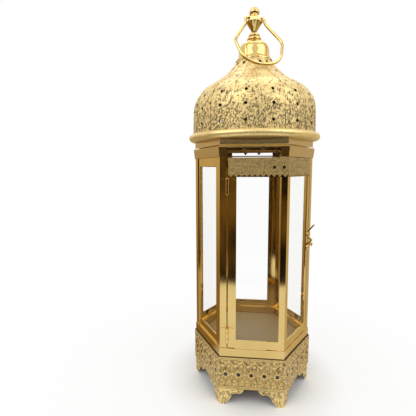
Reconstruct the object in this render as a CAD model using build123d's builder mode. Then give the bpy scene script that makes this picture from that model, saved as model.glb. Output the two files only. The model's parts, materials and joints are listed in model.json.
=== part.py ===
from build123d import *
import os
from math import asin, cos, degrees, radians, sin, tan

# Hexagonal glazed lantern: pierced base on bracket feet, polished angle posts, a folded
# door that takes in two sides, a sixteen-rib ogee dome and a wire carrying bail.
# Millimetres, +Z up, origin at the centre of the plane that the feet stand on.
# The door's first side faces -Y.

os.makedirs("parts", exist_ok=True)

# Stock and clearances
sheet = 1.0
glass_thickness = 2.0
cut_overrun = 5.0
running_clearance = 0.05
free_clearance = 0.35
door_clearance = 0.7

# Hexagonal body
side_count = 6
body_corner_radius = 72.0
body_height = 215.5
post_leg = 7.5

# Base skirt and its pierced holes
skirt_corner_radius = 74.4
skirt_height = 38.2
skirt_ledge = 14.0
skirt_hole_radius = 2.1
skirt_hole_pitch = 14.6
skirt_hole_count = 5
skirt_hole_rise = 17.7

# Bracket feet
foot_height = 19.8
foot_wing = 28.0
foot_lap = 9.0
foot_sheet = 1.5
foot_tip_share = 0.22
foot_ogee_shares = ((0.36, 0.19), (0.48, 0.44), (0.57, 0.64), (0.72, 0.70), (0.89, 0.72), (1.0, 0.93))

# Sill strip and candle floor
plinth_corner_radius = 73.0
plinth_height = 10.0
plinth_width = 5.2

# Windows
fixed_stile = 4.5
bottom_rail = 10.0
fixed_top_rail = 9.8
door_top_rail = 20.7
pane_lap = 5.0
door_pane_lap = 4.0

# Pane clips
clip_sheet = 0.8
clip_width = 8.0
clip_foot = 3.2
clip_finger = 2.6
clip_spread = 24.0

# Folded door
hinge_stile = 9.0
fold_stile = 6.5
latch_stile = 5.5
door_gap = 1.5
frieze_sheet = 0.8
frieze_drop = 3.0
frieze_hole_radius = 1.8
frieze_hole_pitch = 10.0
frieze_hole_count = 2
frieze_hole_rise = 10.3
frieze_hole_inset = 9.1
frieze_tooth_count = 11

# Butt hinges
hinge_length = 16.5
hinge_leaf_width = 5.4
hinge_leaf_sheet = 0.8
hinge_barrel_radius = 1.9
hinge_pin_radius = 0.95
hinge_pin_head_radius = 1.6
hinge_pin_head_height = 0.8
hinge_middle_share = 0.4
upper_hinge_drop = 31.5
lower_hinge_rise = 16.0

# Latch
latch_rise_share = 0.5754
latch_reach = 16.0
latch_sheet = 1.2
latch_width = 4.0
latch_hook_radius = 4.6
latch_pad_radius = 3.4
latch_bow = 5.0
latch_bow_share = 0.46
latch_tail_rise = 9.0
latch_tail_out = 7.0
latch_bend_radius = 1.8
latch_spacer = 1.0
latch_axial_clearance = 0.15
latch_rivet_radius = 1.4
latch_head_radius = 2.5
latch_head_height = 1.0
keeper_radius = 1.4
keeper_head_radius = 2.4
keeper_head_height = 1.0
keeper_head_gap = 0.5

# Neck band with its flared cornice and long vents
neck_corner_radius = 72.0
neck_height = 20.1
neck_foot_corner_radius = 72.8
neck_flange = 5.2
cornice_corner_radius = 74.2
cornice_rise = 11.0
cornice_shoulder = 2.2
vent_width = 57.0
vent_height = 9.0
vent_tooth_count = 2
vent_tooth_width = 5.0
vent_tooth_drop = 3.5

# Rolled rim
rim_radius = 78.6
rim_bead_radius = 4.2
rim_lip = 3.4
rim_opening_radius = 50.0

# Dome
gore_count = 16
dome_turn = -85.75
dome_inset = 6.1
dome_foot_spread = 0.5
dome_wall_height = 25.0
dome_shoulder_radius = 35.0
dome_shoulder_angle = 63.4
dome_height = 86.0
dome_top_radius = 21.3
dome_mouth_height = 1.8
rib_height = 0.6
rib_width = 2.2
dome_hole_radius = 1.7
dome_hole_rise_shares = (0.104, 0.298, 0.465, 0.936)

# Cupola
cupola_flange_radius = 22.0
cupola_base_radius = 21.0
cupola_waist_radius = 19.4
cupola_shoulder_radius = 18.4
cupola_top_radius = 8.3
cupola_height = 23.4
cupola_waist_share = 0.19
cupola_shoulder_share = 0.45

# Collar
collar_lower_radius = 8.6
collar_lower_height = 4.8
collar_upper_radius = 6.8
collar_upper_height = 3.4

# Finial
finial_foot_radius = 4.6
finial_foot_height = 1.0
finial_waist_radius = 2.7
finial_waist_rise = 2.6
finial_belly_radius = 9.8
finial_belly_rise = 13.6
finial_neck_radius = 4.6
finial_neck_rise = 21.2
finial_ball_radius = 6.1
finial_ball_half_height = 4.7
finial_ball_round = 3.3
finial_ball_rise = 25.2
stud_radius = 2.9
stud_length = 17.0
nut_radius = 6.0
nut_height = 5.0

# Wire bail
bail_wire_radius = 1.75
bail_pivot_rise = 19.3
bail_yaw = 18.2
bail_lean = 27.5
bail_leg_offset = 10.8
bail_stub_start = 2.2
bail_half_width = 29.0
bail_length = 70.0
bail_knee_shares = (0.43, 0.145)
bail_shoulder_share = 0.53
bail_bottom_share = 0.69
bail_bend_radius = 3.4
bail_knee_radius = 12.0
bail_shoulder_radius = 14.0
bail_bottom_radius = 22.0

# Worked-out hexagon sizes
corner_step = 360 / side_count
half_corner = corner_step / 2
flat_share = cos(radians(half_corner))
half_side_share = tan(radians(half_corner))
body_apothem = body_corner_radius * flat_share
body_half_side = body_apothem * half_side_share
skirt_apothem = skirt_corner_radius * flat_share
foot_apothem = skirt_apothem - sheet
foot_half_side = foot_apothem * half_side_share
plinth_apothem = plinth_corner_radius * flat_share
plinth_inner_apothem = plinth_apothem - plinth_width
neck_foot_apothem = neck_foot_corner_radius * flat_share
cornice_apothem = cornice_corner_radius * flat_share
dome_radius = rim_radius - dome_inset
dome_foot_radius = dome_radius + dome_foot_spread

# Worked-out levels
skirt_top = foot_height + skirt_height
plinth_top = skirt_top + plinth_height
body_top = plinth_top + body_height
neck_top = body_top + neck_height
rim_top = neck_top + rim_bead_radius + rim_bead_radius
dome_top = rim_top + dome_height
cupola_top = dome_top + cupola_height
finial_base = cupola_top + collar_lower_height + collar_upper_height
bail_level = finial_base + bail_pivot_rise
upper_hinge_level = body_top - upper_hinge_drop
lower_hinge_level = plinth_top + lower_hinge_rise
latch_level = plinth_top + latch_rise_share * body_height

# Azimuths of the sides and corners, counted from the side that faces -Y
front_azimuth = -90
front_corner_azimuth = front_azimuth - half_corner
face_azimuths = [front_azimuth + corner_step * turn for turn in range(side_count)]
corner_azimuths = [front_corner_azimuth + corner_step * turn for turn in range(side_count)]
door_azimuths = face_azimuths[:2]
fixed_azimuths = face_azimuths[2:]
door_corner_azimuth = corner_azimuths[1]
post_azimuths = [azimuth for azimuth in corner_azimuths if azimuth != door_corner_azimuth]


def face_plane(azimuth, distance):
    """Plane of one side: X runs to the right seen from outside, Y runs up, Z points out."""
    turn = radians(azimuth)
    outward = Vector(cos(turn), sin(turn), 0)
    sideways = Vector(-sin(turn), cos(turn), 0)
    return Plane(origin=outward * distance, x_dir=sideways, z_dir=outward)


def corner_plane(azimuth, radius, level):
    """Level plane at one corner with X pointing to the lantern's axis."""
    turn = radians(azimuth)
    inward = Vector(-cos(turn), -sin(turn), 0)
    return Plane(origin=inward * -radius + Vector(0, 0, level), x_dir=inward, z_dir=(0, 0, 1))


def hexagon(apothem):
    """Hexagon with its corners on the lantern's corners, given the size across its flats."""
    RegularPolygon(apothem / flat_share, side_count)


def span(left, right, bottom, top, mode=Mode.ADD):
    """Rectangle between two sides and two levels of the current sketch."""
    with Locations(((left + right) / 2, (bottom + top) / 2)):
        Rectangle(right - left, top - bottom, mode=mode)


def save(builder, name):
    """Label a finished piece and write it out."""
    builder.part.label = name
    export_step(builder.part, f"parts/{name}.step")


# Base skirt: a hexagonal pan turned upside down, pierced along each side
skirt_opening_apothem = skirt_apothem - skirt_ledge
with BuildPart() as base_skirt:
    with BuildSketch(Plane.XY.offset(foot_height)):
        hexagon(skirt_apothem)
    extrude(amount=skirt_height)
    with BuildSketch(Plane.XY.offset(foot_height)):
        hexagon(skirt_apothem - sheet)
    extrude(amount=skirt_height - sheet, mode=Mode.SUBTRACT)
    with BuildSketch(Plane.XY.offset(skirt_top)):
        hexagon(skirt_opening_apothem)
    extrude(amount=-cut_overrun, mode=Mode.SUBTRACT)
    for azimuth in face_azimuths:
        with BuildSketch(face_plane(azimuth, skirt_apothem)):
            with Locations((0, foot_height + skirt_hole_rise)):
                with GridLocations(skirt_hole_pitch, skirt_hole_pitch, skirt_hole_count, 1):
                    Circle(skirt_hole_radius)
        extrude(amount=-cut_overrun, mode=Mode.SUBTRACT)
save(base_skirt, "base_skirt")

# Bracket feet: two ogee wings folded round each corner, lapped behind the skirt
foot_top = foot_height + foot_lap


def wing_point(side, along, up):
    """Point of a foot's wing: along the side from the corner, and up from the ground."""
    return (side * (along - foot_half_side), up)


for number, corner_azimuth in enumerate(corner_azimuths, start=1):
    with BuildPart() as foot:
        for side in (-1, 1):
            tip = wing_point(side, foot_tip_share * foot_wing, 0)
            ogee = [wing_point(side, along * foot_wing, up * foot_height) for along, up in foot_ogee_shares]
            with BuildSketch(face_plane(corner_azimuth + side * half_corner, foot_apothem)):
                with BuildLine():
                    ThreePointArc(tip, ogee[0], ogee[1])
                    ThreePointArc(ogee[1], ogee[2], ogee[3])
                    ThreePointArc(ogee[3], ogee[4], ogee[5])
                    Polyline(
                        ogee[5],
                        wing_point(side, foot_wing, foot_top),
                        wing_point(side, 0, foot_top),
                        wing_point(side, 0, 0),
                        tip,
                    )
                make_face()
            extrude(amount=-foot_sheet)
    save(foot, f"foot_{number}")

# Sill strip: folded hexagonal channel that the posts and window frames stand on
with BuildPart() as base_plinth:
    with BuildSketch(Plane.XY.offset(skirt_top)):
        hexagon(plinth_apothem)
        RegularPolygon(plinth_inner_apothem / flat_share, side_count, mode=Mode.SUBTRACT)
    extrude(amount=plinth_height)
    with BuildSketch(Plane.XY.offset(skirt_top)):
        hexagon(plinth_apothem - sheet)
        RegularPolygon((plinth_inner_apothem + sheet) / flat_share, side_count, mode=Mode.SUBTRACT)
    extrude(amount=plinth_height - sheet, mode=Mode.SUBTRACT)
save(base_plinth, "base_plinth")

# Candle floor: a plate that drops inside the sill strip and rests on the skirt's ledge
with BuildPart() as floor_plate:
    with BuildSketch(Plane.XY.offset(skirt_top)):
        hexagon(plinth_inner_apothem - free_clearance)
    extrude(amount=sheet)
save(floor_plate, "floor_plate")

# Corner posts: polished angles at the five corners outside the door
leg_cos = cos(radians(corner_step))
leg_sin = sin(radians(corner_step))
for number, corner_azimuth in enumerate(post_azimuths, start=1):
    with BuildPart() as corner_post:
        with BuildSketch(corner_plane(corner_azimuth, body_corner_radius, plinth_top)):
            with BuildLine():
                Polyline(
                    (post_leg * leg_cos, post_leg * leg_sin),
                    (0, 0),
                    (post_leg * leg_cos, -post_leg * leg_sin),
                    (post_leg * leg_cos + sheet * leg_sin, sheet * leg_cos - post_leg * leg_sin),
                    (sheet / leg_sin, 0),
                    (post_leg * leg_cos + sheet * leg_sin, post_leg * leg_sin - sheet * leg_cos),
                    close=True,
                )
            make_face()
        extrude(amount=body_height)
    save(corner_post, f"corner_post_{number}")

# Fixed windows: a pressed frame behind the posts, its pane, and the clips that hold it
frame_apothem = body_apothem - sheet
frame_half_width = (frame_apothem - sheet) * half_side_share - free_clearance
fixed_half_window = body_half_side - post_leg - fixed_stile
window_bottom = plinth_top + bottom_rail
fixed_window_top = body_top - fixed_top_rail
fixed_pane_half = fixed_half_window + pane_lap
for number, azimuth in enumerate(fixed_azimuths, start=1):
    with BuildPart() as pane_frame:
        with BuildSketch(face_plane(azimuth, frame_apothem)):
            span(-frame_half_width, frame_half_width, plinth_top, body_top)
            span(-fixed_half_window, fixed_half_window, window_bottom, fixed_window_top, Mode.SUBTRACT)
        extrude(amount=-sheet)
    save(pane_frame, f"pane_frame_{number}")
    with BuildPart() as glass_pane:
        with BuildSketch(face_plane(azimuth, frame_apothem - sheet)):
            span(-fixed_pane_half, fixed_pane_half, window_bottom - pane_lap, fixed_window_top + pane_lap)
        extrude(amount=-glass_thickness)
    save(glass_pane, f"glass_pane_{number}")

# One pane clip: foot on the frame, step past the pane's edge, finger on the pane
clip_depth = glass_thickness + clip_sheet
with BuildPart() as pane_clip:
    with BuildSketch(Plane.YZ):
        with BuildLine():
            Polyline(
                (free_clearance, 0),
                (free_clearance + clip_foot, 0),
                (free_clearance + clip_foot, -clip_sheet),
                (free_clearance + clip_sheet, -clip_sheet),
                (free_clearance + clip_sheet, -clip_depth),
                (-clip_finger, -clip_depth),
                (-clip_finger, -glass_thickness),
                (free_clearance, -glass_thickness),
                close=True,
            )
        make_face()
    extrude(amount=clip_width / 2, both=True)


def clip_seats(azimuth, distance, middle, bottom, top):
    """Planes of the four clips round a pane: two under its lower edge and two over its upper one."""
    base = face_plane(azimuth, distance)
    return [
        Plane(origin=base.from_local_coords((along, level, 0)), x_dir=base.x_dir * way, z_dir=base.z_dir)
        for along in (middle - clip_spread / 2, middle + clip_spread / 2)
        for level, way in ((bottom, -1), (top, 1))
    ]


fixed_pane_bottom = window_bottom - pane_lap
fixed_pane_top = fixed_window_top + pane_lap
fixed_clip_seats = [
    seat
    for azimuth in fixed_azimuths
    for seat in clip_seats(azimuth, frame_apothem - sheet, 0, fixed_pane_bottom, fixed_pane_top)
]
with BuildPart() as pane_clips:
    with Locations(*fixed_clip_seats):
        add(pane_clip.part)
save(pane_clips, "pane_clips")

# Door frame: one plate folded at the front corner, with a window in each side
door_bottom = plinth_top + door_clearance
door_top = body_top - door_clearance
door_edge = body_half_side - post_leg - door_gap
door_window_inner = body_half_side - fold_stile
door_window_outers = (door_edge - hinge_stile, door_edge - latch_stile)
door_window_top = door_top - door_top_rail
door_ways = (1, -1)


def frieze_holes():
    """Pair of round holes in the first side's top rail, close to the fold."""
    with Locations((body_half_side - frieze_hole_inset, door_window_top + frieze_hole_rise)):
        with GridLocations(frieze_hole_pitch, frieze_hole_pitch, frieze_hole_count, 1):
            Circle(frieze_hole_radius)


with BuildPart() as door_frame:
    for azimuth, way, window_outer in zip(door_azimuths, door_ways, door_window_outers):
        with BuildSketch(face_plane(azimuth, body_apothem)):
            span(*sorted((-way * door_edge, way * body_half_side)), door_bottom, door_top)
            span(*sorted((-way * window_outer, way * door_window_inner)),
                 window_bottom, door_window_top, Mode.SUBTRACT)
        extrude(amount=-sheet)
    with BuildSketch(face_plane(front_azimuth, body_apothem)):
        frieze_holes()
    extrude(amount=-cut_overrun, mode=Mode.SUBTRACT)
save(door_frame, "door_frame")

# Door frieze: a pierced strip folded over the door's top rail, toothed along its lower edge
strip_width = door_edge + body_half_side
strip_centre = (body_half_side - door_edge) / 2
strip_fold = body_half_side + frieze_sheet * half_side_share
strip_bottom = door_window_top + frieze_drop
tooth_pitch = strip_width / frieze_tooth_count
with BuildPart() as door_frieze:
    for azimuth, way in zip(door_azimuths, door_ways):
        with BuildSketch(face_plane(azimuth, body_apothem)):
            span(*sorted((-way * door_edge, way * strip_fold)), strip_bottom, door_top)
            with Locations((way * strip_centre, strip_bottom)):
                with GridLocations(tooth_pitch, tooth_pitch, frieze_tooth_count, 1):
                    Polygon((-tooth_pitch / 2, 0), (0, -frieze_drop), (tooth_pitch / 2, 0), align=None)
        extrude(amount=frieze_sheet)
    with BuildSketch(face_plane(front_azimuth, body_apothem)):
        frieze_holes()
    extrude(amount=cut_overrun, mode=Mode.SUBTRACT)
save(door_frieze, "door_frieze")

# Door panes and their clips
door_pane_apothem = body_apothem - sheet
door_pane_bottom = window_bottom - pane_lap
door_pane_top = door_window_top + pane_lap
door_pane_names = ("door_pane_front", "door_pane_right")
for azimuth, way, window_outer, name in zip(door_azimuths, door_ways, door_window_outers, door_pane_names):
    pane_sides = sorted((-way * (window_outer + door_pane_lap), way * (door_window_inner + door_pane_lap)))
    with BuildPart() as door_pane:
        with BuildSketch(face_plane(azimuth, door_pane_apothem)):
            span(*pane_sides, door_pane_bottom, door_pane_top)
        extrude(amount=-glass_thickness)
    save(door_pane, name)

door_clip_seats = [
    seat
    for azimuth, way, window_outer in zip(door_azimuths, door_ways, door_window_outers)
    for seat in clip_seats(
        azimuth,
        door_pane_apothem,
        way * (door_window_inner - window_outer) / 2,
        door_pane_bottom,
        door_pane_top,
    )
]
with BuildPart() as door_pane_clips:
    with Locations(*door_clip_seats):
        add(pane_clip.part)
save(door_pane_clips, "door_pane_clips")

# Butt hinges: the barrel stands just proud of the gap beside the front left post
hinge_along = -(body_half_side - post_leg - door_gap / 2)
hinge_out = body_apothem + free_clearance + hinge_barrel_radius
hinge_bore_radius = hinge_pin_radius + running_clearance
hinge_middle = hinge_length * hinge_middle_share
leaf_start = hinge_barrel_radius + free_clearance
leaf_end = leaf_start + hinge_leaf_width
half_hinge = hinge_length / 2
half_middle = hinge_middle / 2
end_knuckles = ((-half_hinge, -half_middle - free_clearance), (half_middle + free_clearance, half_hinge))
middle_knuckle = ((-half_middle, half_middle),)
hinge_seats = [(0, 0, lower_hinge_level), (0, 0, upper_hinge_level)]
for name, way, knuckles in (
    ("hinge_post_leaves", -1, end_knuckles),
    ("hinge_door_leaves", 1, middle_knuckle),
):
    with BuildPart() as hinge_leaf:
        with BuildSketch(face_plane(front_azimuth, body_apothem)):
            leaf_sides = sorted((hinge_along + way * leaf_start, hinge_along + way * leaf_end))
            span(*leaf_sides, -half_hinge, half_hinge)
            for bottom, top in knuckles:
                span(*sorted((hinge_along, hinge_along + way * leaf_end)), bottom, top)
        extrude(amount=hinge_leaf_sheet)
        for bottom, top in knuckles:
            with BuildSketch(Plane.XY.offset(bottom)):
                with Locations((hinge_along, -hinge_out)):
                    Circle(hinge_barrel_radius)
            extrude(amount=top - bottom)
        with BuildSketch(Plane.XY):
            with Locations((hinge_along, -hinge_out)):
                Circle(hinge_bore_radius)
        extrude(amount=hinge_length, both=True, mode=Mode.SUBTRACT)
    with BuildPart() as hinge_leaves:
        with Locations(*hinge_seats):
            add(hinge_leaf.part)
    save(hinge_leaves, name)

with BuildPart() as hinge_pin:
    for bottom, height, radius in (
        (-half_hinge, hinge_length, hinge_pin_radius),
        (-half_hinge, -hinge_pin_head_height, hinge_pin_head_radius),
        (half_hinge, hinge_pin_head_height, hinge_pin_head_radius),
    ):
        with BuildSketch(Plane.XY.offset(bottom)):
            with Locations((hinge_along, -hinge_out)):
                Circle(radius)
        extrude(amount=height)
with BuildPart() as hinge_pins:
    with Locations(*hinge_seats):
        add(hinge_pin.part)
save(hinge_pins, "hinge_pins")

# Latch: a bent lever hangs from a rivet on the door's free stile and swings to a keeper on the right post
latch_azimuth = door_azimuths[1]
latch_along = door_edge - latch_stile / 2
keeper_along = body_half_side - post_leg / 2
latch_swing = degrees(asin((keeper_along - latch_along) / latch_reach))
keeper_level = latch_level - latch_reach * cos(radians(latch_swing))
hook_level = latch_level - latch_reach
lever_inside = latch_spacer + latch_axial_clearance
lever_outside = lever_inside + latch_sheet
hook_mouth = keeper_radius + free_clearance
latch_face = face_plane(latch_azimuth, body_apothem)
lever_face = face_plane(latch_azimuth, body_apothem + lever_inside)
lever_side = Plane(
    origin=latch_face.from_local_coords((latch_along, 0, 0)),
    x_dir=latch_face.z_dir,
    z_dir=-latch_face.x_dir,
)
bow_level = latch_level - latch_bow_share * latch_reach
with BuildPart() as latch_hook:
    with BuildSketch(lever_side):
        with BuildLine():
            FilletPolyline(
                (lever_inside + latch_tail_out, latch_level + latch_pad_radius + latch_tail_rise),
                (lever_inside, latch_level + latch_pad_radius),
                (lever_inside, latch_level - latch_pad_radius),
                (lever_inside + latch_bow, bow_level),
                (lever_inside, hook_level + latch_hook_radius),
                (lever_inside, hook_level),
                radius=latch_bend_radius,
            )
            offset(amount=latch_sheet, side=Side.LEFT)
        make_face()
    extrude(amount=latch_width / 2, both=True)
    with BuildSketch(lever_face):
        with Locations((latch_along, latch_level)):
            Circle(latch_pad_radius)
        with Locations((latch_along, hook_level)):
            Circle(latch_hook_radius)
    extrude(amount=latch_sheet)
    with BuildSketch(latch_face):
        with Locations((latch_along, latch_level)):
            Circle(latch_reach + hook_mouth)
            Circle(latch_reach - hook_mouth, mode=Mode.SUBTRACT)
        span(latch_along, latch_along + latch_reach, hook_level - latch_reach, latch_level, Mode.INTERSECT)
        with Locations((latch_along, latch_level)):
            Circle(latch_rivet_radius + running_clearance)
        with Locations((latch_along, hook_level)):
            Circle(hook_mouth)
    extrude(amount=latch_reach, mode=Mode.SUBTRACT)
save(latch_hook, "latch_hook")

# Rivet that carries the lever, and the headed keeper that the hook swings under
rivet_shank_end = lever_outside + latch_axial_clearance
keeper_shank_end = lever_outside + keeper_head_gap
rivet_steps = (
    (latch_head_radius, 0, latch_spacer),
    (latch_rivet_radius, latch_spacer, rivet_shank_end),
    (latch_head_radius, rivet_shank_end, rivet_shank_end + latch_head_height),
)
keeper_steps = (
    (keeper_radius, 0, keeper_shank_end),
    (keeper_head_radius, keeper_shank_end, keeper_shank_end + keeper_head_height),
)
for name, along, level, steps in (
    ("latch_rivet", latch_along, latch_level, rivet_steps),
    ("latch_keeper", keeper_along, keeper_level, keeper_steps),
):
    with BuildPart() as stud:
        for radius, inner, outer in steps:
            with BuildSketch(face_plane(latch_azimuth, body_apothem + inner)):
                with Locations((along, level)):
                    Circle(radius)
            extrude(amount=outer - inner)
    save(stud, name)

# Neck band: upright band over a flared cornice, flanged inwards at its foot, with long vents front and back
neck_sections = (
    (0, neck_foot_corner_radius),
    (cornice_rise, cornice_corner_radius),
    (cornice_rise + cornice_shoulder, neck_corner_radius),
    (neck_height, neck_corner_radius),
)
vent_bottom = body_top + sheet
vent_top = vent_bottom + vent_height
tooth_pitch_across = vent_width / (vent_tooth_count + 1)
with BuildPart() as neck_band:
    for inset, mode in ((0, Mode.ADD), (sheet, Mode.SUBTRACT)):
        for rise, corner_radius in neck_sections:
            with BuildSketch(Plane.XY.offset(body_top + rise)):
                hexagon(corner_radius * flat_share - inset)
        loft(ruled=True, mode=mode)
    with BuildSketch(Plane.XY.offset(body_top)):
        hexagon(neck_foot_apothem)
        RegularPolygon((neck_foot_apothem - neck_flange) / flat_share, side_count, mode=Mode.SUBTRACT)
    extrude(amount=sheet)
    for azimuth in (face_azimuths[0], face_azimuths[side_count // 2]):
        with BuildSketch(face_plane(azimuth, cornice_apothem)):
            span(-vent_width / 2, vent_width / 2, vent_bottom, vent_top)
            with Locations((0, vent_top)):
                with GridLocations(tooth_pitch_across, tooth_pitch_across, vent_tooth_count, 1):
                    Polygon(
                        (-vent_tooth_width / 2, 0),
                        (0, -vent_tooth_drop),
                        (vent_tooth_width / 2, 0),
                        align=None,
                        mode=Mode.SUBTRACT,
                    )
        extrude(amount=-cut_overrun, mode=Mode.SUBTRACT)
save(neck_band, "neck_band")

# Rim plate: flat ring on the neck band, its edge rolled up and back into a lip
bead_centre = rim_radius - rim_bead_radius
bead_level = neck_top + rim_bead_radius
with BuildPart() as rim_plate:
    with BuildSketch(Plane.XZ):
        with BuildLine():
            Line((rim_opening_radius, neck_top), (bead_centre, neck_top))
            ThreePointArc((bead_centre, neck_top), (rim_radius, bead_level), (bead_centre, rim_top))
            Polyline(
                (bead_centre, rim_top),
                (bead_centre - rim_lip, rim_top),
                (bead_centre - rim_lip, rim_top - sheet),
                (bead_centre, rim_top - sheet),
            )
            ThreePointArc(
                (bead_centre, rim_top - sheet),
                (rim_radius - sheet, bead_level),
                (bead_centre, neck_top + sheet),
            )
            Polyline(
                (bead_centre, neck_top + sheet),
                (rim_opening_radius, neck_top + sheet),
                (rim_opening_radius, neck_top),
            )
        make_face()
    revolve(axis=Axis.Z)
save(rim_plate, "rim_plate")

# Dome: a spun ogee shell with a raised rib over each seam of its gores and a column of holes up each gore
half_gore = 180 / gore_count
shoulder_level = rim_top + dome_wall_height


def dome_line():
    """Ogee from the rim to the cupola: upright wall, round shoulder, hollow flare and short mouth."""
    Line((dome_foot_radius, rim_top), (dome_radius, shoulder_level))
    shoulder = CenterArc(
        (dome_radius - dome_shoulder_radius, shoulder_level),
        dome_shoulder_radius,
        0,
        dome_shoulder_angle,
    )
    mouth = (dome_top_radius, dome_top - dome_mouth_height)
    TangentArc(shoulder @ 1, mouth, tangent=shoulder % 1)
    Line(mouth, (dome_top_radius, dome_top))


with BuildPart() as rib:
    with BuildSketch(Plane.XZ):
        with BuildLine():
            dome_line()
            offset(amount=rib_height, side=Side.BOTH)
        make_face()
    extrude(amount=rib_width / 2, both=True)

with BuildPart() as hole_column:
    with BuildSketch(Plane.YZ):
        for share in dome_hole_rise_shares:
            with Locations((0, rim_top + share * dome_height)):
                Circle(dome_hole_radius)
    extrude(amount=rim_radius)

with BuildPart() as dome:
    with BuildSketch(Plane.XZ):
        with BuildLine():
            dome_line()
            offset(amount=sheet, side=Side.LEFT)
        make_face()
    revolve(axis=Axis.Z)
    with PolarLocations(0, gore_count, dome_turn + half_gore):
        add(hole_column.part, mode=Mode.SUBTRACT)
    with PolarLocations(0, gore_count, dome_turn):
        add(rib.part)
    split(bisect_by=Plane.XY.offset(rim_top), keep=Keep.TOP)
    split(bisect_by=Plane.XY.offset(dome_top), keep=Keep.BOTTOM)
save(dome, "dome")

# Cupola: spun cap with a flange on the dome's mouth and a flat top for the collar
stud_hole_radius = stud_radius + free_clearance
cupola_foot = dome_top + sheet
with BuildPart() as cupola:
    with BuildSketch(Plane.XZ):
        with BuildLine():
            Line((cupola_flange_radius, cupola_foot), (cupola_base_radius, cupola_foot))
            waist = ThreePointArc(
                (cupola_base_radius, cupola_foot),
                (cupola_waist_radius, dome_top + cupola_waist_share * cupola_height),
                (cupola_shoulder_radius, dome_top + cupola_shoulder_share * cupola_height),
            )
            crown = TangentArc(waist @ 1, (cupola_top_radius, cupola_top), tangent=waist % 1)
            Line(crown @ 1, (stud_hole_radius, cupola_top))
            offset(amount=sheet, side=Side.LEFT)
        make_face()
    revolve(axis=Axis.Z)
save(cupola, "cupola")

# Collar: two half-round rings under the finial
collar_step = cupola_top + collar_lower_height
with BuildPart() as collar:
    with BuildSketch(Plane.XZ):
        with BuildLine():
            lower_flat = collar_lower_radius - collar_lower_height / 2
            upper_flat = collar_upper_radius - collar_upper_height / 2
            Polyline(
                (lower_flat, cupola_top),
                (stud_hole_radius, cupola_top),
                (stud_hole_radius, finial_base),
                (upper_flat, finial_base),
            )
            ThreePointArc(
                (lower_flat, cupola_top),
                (collar_lower_radius, cupola_top + collar_lower_height / 2),
                (lower_flat, collar_step),
            )
            Line((lower_flat, collar_step), (upper_flat, collar_step))
            ThreePointArc(
                (upper_flat, collar_step),
                (collar_upper_radius, collar_step + collar_upper_height / 2),
                (upper_flat, finial_base),
            )
        make_face()
    revolve(axis=Axis.Z)
save(collar, "collar")

# Finial: turned stem, belly and ball, with a threaded stud below and a cross hole for the bail
ball_level = finial_base + finial_ball_rise
finial_top = ball_level + finial_ball_half_height
bail_axis = Vector(cos(radians(bail_yaw)), sin(radians(bail_yaw)), 0)
with BuildPart() as finial:
    with BuildSketch(Plane.XZ):
        with BuildLine():
            Polyline(
                (0, finial_top),
                (0, finial_base - stud_length),
                (stud_radius, finial_base - stud_length),
                (stud_radius, finial_base),
                (finial_foot_radius, finial_base),
                (finial_foot_radius, finial_base + finial_foot_height),
                (finial_waist_radius, finial_base + finial_waist_rise),
                (finial_belly_radius, finial_base + finial_belly_rise),
                (finial_neck_radius, finial_base + finial_neck_rise),
                (finial_neck_radius, ball_level - finial_ball_round),
            )
            Spline(
                (finial_neck_radius, ball_level - finial_ball_round),
                (finial_ball_radius, ball_level),
                (finial_neck_radius, ball_level + finial_ball_round),
                (0, finial_top),
                tangents=((1, 1), (-1, 0)),
            )
        make_face()
    revolve(axis=Axis.Z)
    with BuildSketch(Plane(origin=(0, 0, bail_level), z_dir=bail_axis)):
        Circle(bail_wire_radius + running_clearance)
    extrude(amount=finial_belly_radius, both=True, mode=Mode.SUBTRACT)
save(finial, "finial")

# Nut on the stud, tight under the cupola's top
nut_bottom = cupola_top - sheet - nut_height
with BuildPart() as finial_nut:
    with BuildSketch(Plane.XY.offset(nut_bottom)):
        RegularPolygon(nut_radius, side_count)
        Circle(stud_radius + running_clearance, mode=Mode.SUBTRACT)
    extrude(amount=nut_height)
save(finial_nut, "finial_nut")

# Bail: one bent wire whose ends turn in to the finial's cross hole, hanging against the dome's flare
lean_cos = cos(radians(bail_lean))
lean_sin = sin(radians(bail_lean))
bail_facing = Vector(lean_cos * sin(radians(bail_yaw)), -lean_cos * cos(radians(bail_yaw)), lean_sin)
bail_plane = Plane(origin=(0, 0, bail_level), x_dir=bail_axis, z_dir=bail_facing)
bail_half_points = [
    (bail_stub_start, 0),
    (bail_leg_offset, 0),
    (bail_knee_shares[0] * bail_half_width, -bail_knee_shares[1] * bail_length),
    (bail_half_width, -bail_shoulder_share * bail_length),
    (bail_bottom_share * bail_half_width, -bail_length),
]
bail_mirrored = [(-across, up) for across, up in reversed(bail_half_points)]
bail_radii = [bail_bend_radius, bail_knee_radius, bail_shoulder_radius, bail_bottom_radius]
with BuildPart() as bail:
    with BuildLine(bail_plane) as bail_path:
        FilletPolyline(*bail_half_points, *bail_mirrored, radius=bail_radii + bail_radii[::-1])
    with BuildSketch(Plane(origin=bail_path.line @ 0, z_dir=bail_path.line % 0)):
        Circle(bail_wire_radius)
    sweep()
save(bail, "bail")
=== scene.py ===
import bisect
import json
import math

import bpy
from bpy.props import FloatProperty, FloatVectorProperty, IntProperty, PointerProperty
from mathutils import Euler, Matrix, Vector


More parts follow.
